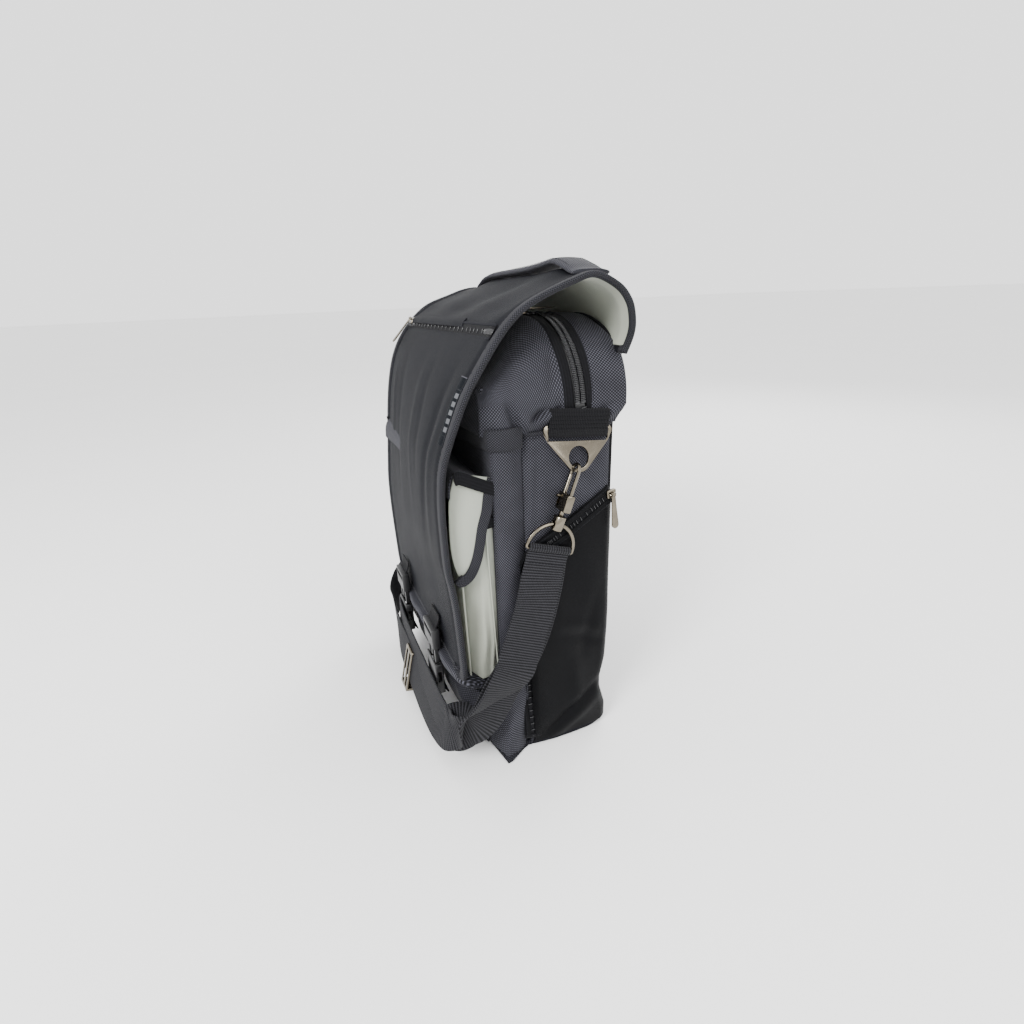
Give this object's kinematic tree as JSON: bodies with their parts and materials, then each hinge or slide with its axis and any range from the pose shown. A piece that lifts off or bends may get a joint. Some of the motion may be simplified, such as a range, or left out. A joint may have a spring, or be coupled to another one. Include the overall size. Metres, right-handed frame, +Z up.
{
  "type": "flight bag",
  "caption": "Upright crew shoulder bag with a full front flap, side-release clasps, zipped main and side pockets, and a webbing strap on swivel snap hooks.",
  "frame": {"origin": "middle of the underside of the base, on the surface the bag stands on", "axes": "+Z up; -Y towards the front, the flap's side; +Y towards the back panel; +X towards the side that the near strap hook is on"},
  "size_m": [0.2875, 0.183, 0.4143],
  "materials": {
    "coarse_nylon": "coarse ballistic weave, charcoal black with a blue cast",
    "flap_nylon": "finer twill, dark grey with a soft sheen",
    "pocket_nylon": "smooth black nylon, slightly glossy",
    "grey_lining": "light grey coated lining, matte",
    "webbing": "ribbed black polyester webbing, matte",
    "black_plastic": "moulded black plastic",
    "nickel": "satin nickel plated metal with a warm tint",
    "foam": "closed cell foam",
    "board": "stiff fibreboard"
  },
  "bodies": {
    "bag": {"base_panel": "coarse_nylon", "base_board": "board", "back_panel": "coarse_nylon", "back_foam": "foam", "main_front_panel": "coarse_nylon", "padded_divider": "grey_lining", "side_gusset_near": "coarse_nylon", "side_gusset_far": "coarse_nylon", "front_yoke": "coarse_nylon", "top_gusset_front": "coarse_nylon", "top_gusset_back": "coarse_nylon", "main_zip_chain": "black_plastic", "organiser_wall": "coarse_nylon", "organiser_side_near": "coarse_nylon", "organiser_side_far": "coarse_nylon", "bellows_front": "grey_lining", "bellows_side_near": "grey_lining", "bellows_side_far": "grey_lining", "bellows_roll": "coarse_nylon", "lower_front_pad": "coarse_nylon", "pocket_cover": "grey_lining", "side_zip_near": "black_plastic", "side_zip_far": "black_plastic", "side_pocket_near": "pocket_nylon", "side_pocket_far": "pocket_nylon", "ring_tab_near": "webbing", "ring_tab_far": "webbing", "ring_near": "nickel", "ring_far": "nickel", "swivel_near": "nickel", "swivel_far": "nickel", "d_ring_near": "nickel", "d_ring_far": "nickel", "shoulder_strap": "webbing", "clasp_socket_near": "black_plastic", "clasp_socket_far": "black_plastic", "socket_web_near": "webbing", "socket_web_far": "webbing"},
    "flap": {"flap_panel": "flap_nylon", "flap_lining": "grey_lining", "flap_zip_chain": "black_plastic", "side_label": "webbing", "grab_handle": "coarse_nylon"},
    "plug_near": {"clasp_plug_near": "black_plastic", "plug_web_near": "webbing"},
    "plug_far": {"clasp_plug_far": "black_plastic", "plug_web_far": "webbing"},
    "hook_near": {"hook_near": "nickel"},
    "hook_far": {"hook_far": "nickel"},
    "bolt_near": {"bolt_near": "nickel"},
    "bolt_far": {"bolt_far": "nickel"},
    "flap_slider": {"flap_slider": "nickel"},
    "flap_pull": {"flap_pull": "nickel"},
    "main_slider": {"main_slider": "nickel"},
    "main_pull": {"main_pull": "nickel"},
    "side_slider_near": {"side_near_slider": "nickel"},
    "side_pull_near": {"side_near_pull": "nickel"},
    "side_slider_far": {"side_far_slider": "nickel"},
    "side_pull_far": {"side_far_pull": "nickel"},
    "tri_glide": {"tri_glide": "nickel"}
  },
  "joints": [
    {"name": "flap_swing", "type": "hinge", "parent": "bag", "child": "flap", "pos_m": [0, 0.0715, 0.3465], "axis": [-1, 0, 0], "range_deg": [0, 130]},
    {"name": "plug_near_slide", "type": "slide", "parent": "flap", "child": "plug_near", "axis": [0, 0, -1], "range_m": [0, 0.016]},
    {"name": "plug_far_slide", "type": "slide", "parent": "flap", "child": "plug_far", "axis": [0, 0, -1], "range_m": [0, 0.016]},
    {"name": "flap_zip_slide", "type": "slide", "parent": "flap", "child": "flap_slider", "axis": [1, 0, 0], "range_m": [0, 0.195]},
    {"name": "flap_pull_swing", "type": "hinge", "parent": "flap_slider", "child": "flap_pull", "pos_m": [-0.108, -0.03019, 0.37072], "axis": [-1, 0, 0], "range_deg": [0, 100]},
    {"name": "main_zip_slide", "type": "slide", "parent": "bag", "child": "main_slider", "axis": [-1, 0, 0], "range_m": [-0.024, 0.084]},
    {"name": "main_pull_swing", "type": "hinge", "parent": "main_slider", "child": "main_pull", "pos_m": [0.03, 0.0345, 0.3771], "axis": [1, 0, 0], "range_deg": [0, 15]},
    {"name": "side_zip_near_slide", "type": "slide", "parent": "bag", "child": "side_slider_near", "axis": [0, -0.8774, -0.4797], "range_m": [0, 0.03]},
    {"name": "side_pull_near_swing", "type": "hinge", "parent": "side_slider_near", "child": "side_pull_near", "pos_m": [0.1293, 0.0645, 0.2355], "axis": [0, -0.995, -0.0995], "range_deg": [0, 90]},
    {"name": "hook_near_swivel", "type": "hinge", "parent": "bag", "child": "hook_near", "pos_m": [0.13143, 0.02841, 0.26235], "axis": [0, 0.3535, 0.9354], "range_deg": [-15, 15]},
    {"name": "bolt_near_slide", "type": "slide", "parent": "hook_near", "child": "bolt_near", "axis": [0, -0.3535, -0.9354], "range_m": [0, 0.006], "stiffness_N_per_m": 150, "springref_m": -0.003},
    {"name": "side_zip_far_slide", "type": "slide", "parent": "bag", "child": "side_slider_far", "axis": [0, -0.8774, -0.4797], "range_m": [0, 0.03]},
    {"name": "side_pull_far_swing", "type": "hinge", "parent": "side_slider_far", "child": "side_pull_far", "pos_m": [-0.1293, 0.0645, 0.2355], "axis": [0, 0.995, 0.0995], "range_deg": [0, 90]},
    {"name": "hook_far_swivel", "type": "hinge", "parent": "bag", "child": "hook_far", "pos_m": [-0.13143, 0.02841, 0.26235], "axis": [0, 0.3535, 0.9354], "range_deg": [-15, 15]},
    {"name": "bolt_far_slide", "type": "slide", "parent": "hook_far", "child": "bolt_far", "axis": [0, -0.3535, -0.9354], "range_m": [0, 0.006], "stiffness_N_per_m": 150, "springref_m": -0.003},
    {"name": "tri_glide_slide", "type": "slide", "parent": "bag", "child": "tri_glide", "axis": [-0.9963, -0.0166, 0.0843], "range_m": [-0.006, 0.006]}
  ]
}
